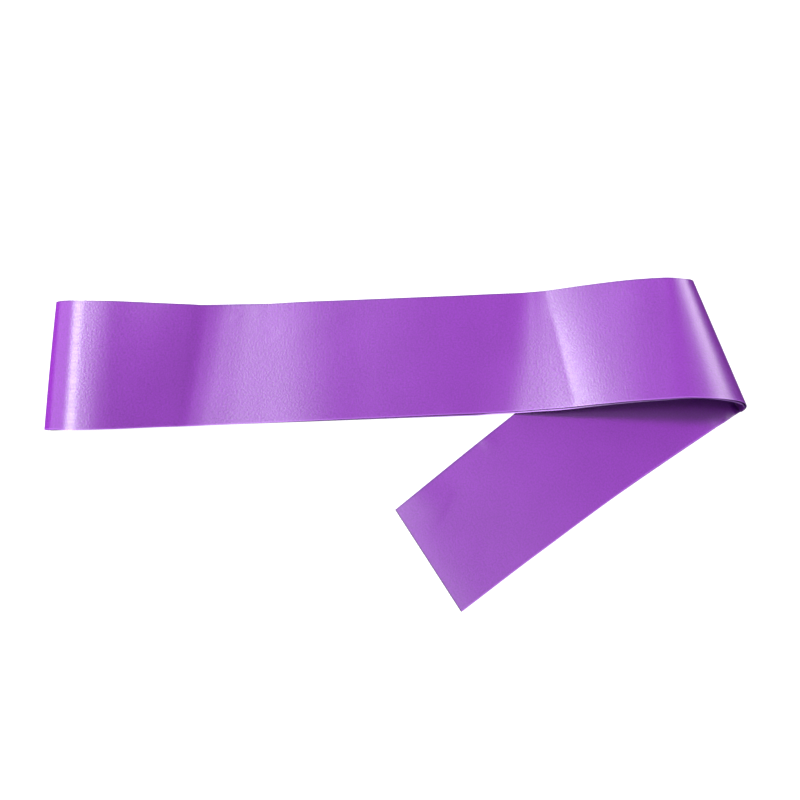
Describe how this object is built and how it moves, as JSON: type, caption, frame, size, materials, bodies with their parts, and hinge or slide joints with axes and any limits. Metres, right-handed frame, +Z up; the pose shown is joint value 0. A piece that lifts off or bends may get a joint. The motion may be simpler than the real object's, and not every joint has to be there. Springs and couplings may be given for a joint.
{
  "type": "satin sash",
  "caption": "Plain wide satin ribbon sash with square-cut ends, folded in half and laid down with a loose turn, for wearing over a shoulder or tying as a band.",
  "frame": {"origin": "middle of the bounding box, on the surface that the sash lies on", "axes": "+X from the left fold towards the right turn along the doubled band; +Y from the band's near edge to its far edge; +Z up from the surface"},
  "size_m": [0.5506, 0.258, 0.0381],
  "materials": {
    "satin": "glossy single-face satin weave"
  },
  "bodies": {
    "root": {"lower_tail": "satin", "outer_turn": "satin", "top_stretch": "satin", "left_turn": "satin", "under_stretch": "satin", "inner_turn": "satin", "upper_tail": "satin"}
  },
  "joints": []
}
